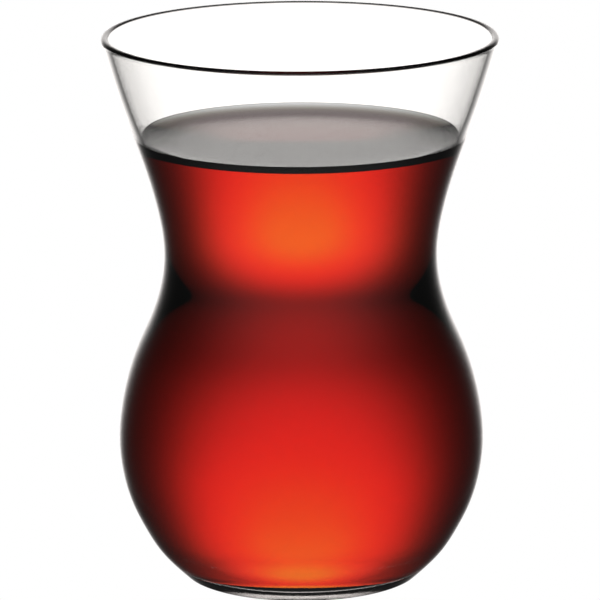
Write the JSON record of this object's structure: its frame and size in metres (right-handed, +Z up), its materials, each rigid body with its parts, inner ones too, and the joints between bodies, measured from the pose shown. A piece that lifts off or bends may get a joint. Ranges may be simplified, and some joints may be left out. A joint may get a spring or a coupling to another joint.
{
  "type": "tulip-shaped tea glass filled with tea",
  "caption": "Small clear drinking glass with a round bulb, narrow waist and flared lip, filled with red-brown tea to well above the waist",
  "frame": {"origin": "centre of the foot, in the plane that the glass stands on", "axes": "+Z up along the axis that both pieces are turned on; X and Y are alike"},
  "size_m": [0.0602, 0.0602, 0.084],
  "materials": {
    "clear_glass": "thin clear soda-lime glass, fire-polished lip",
    "black_tea": "clear red-brown tea"
  },
  "bodies": {
    "root": {"glass": "clear_glass", "tea": "black_tea"}
  },
  "joints": []
}
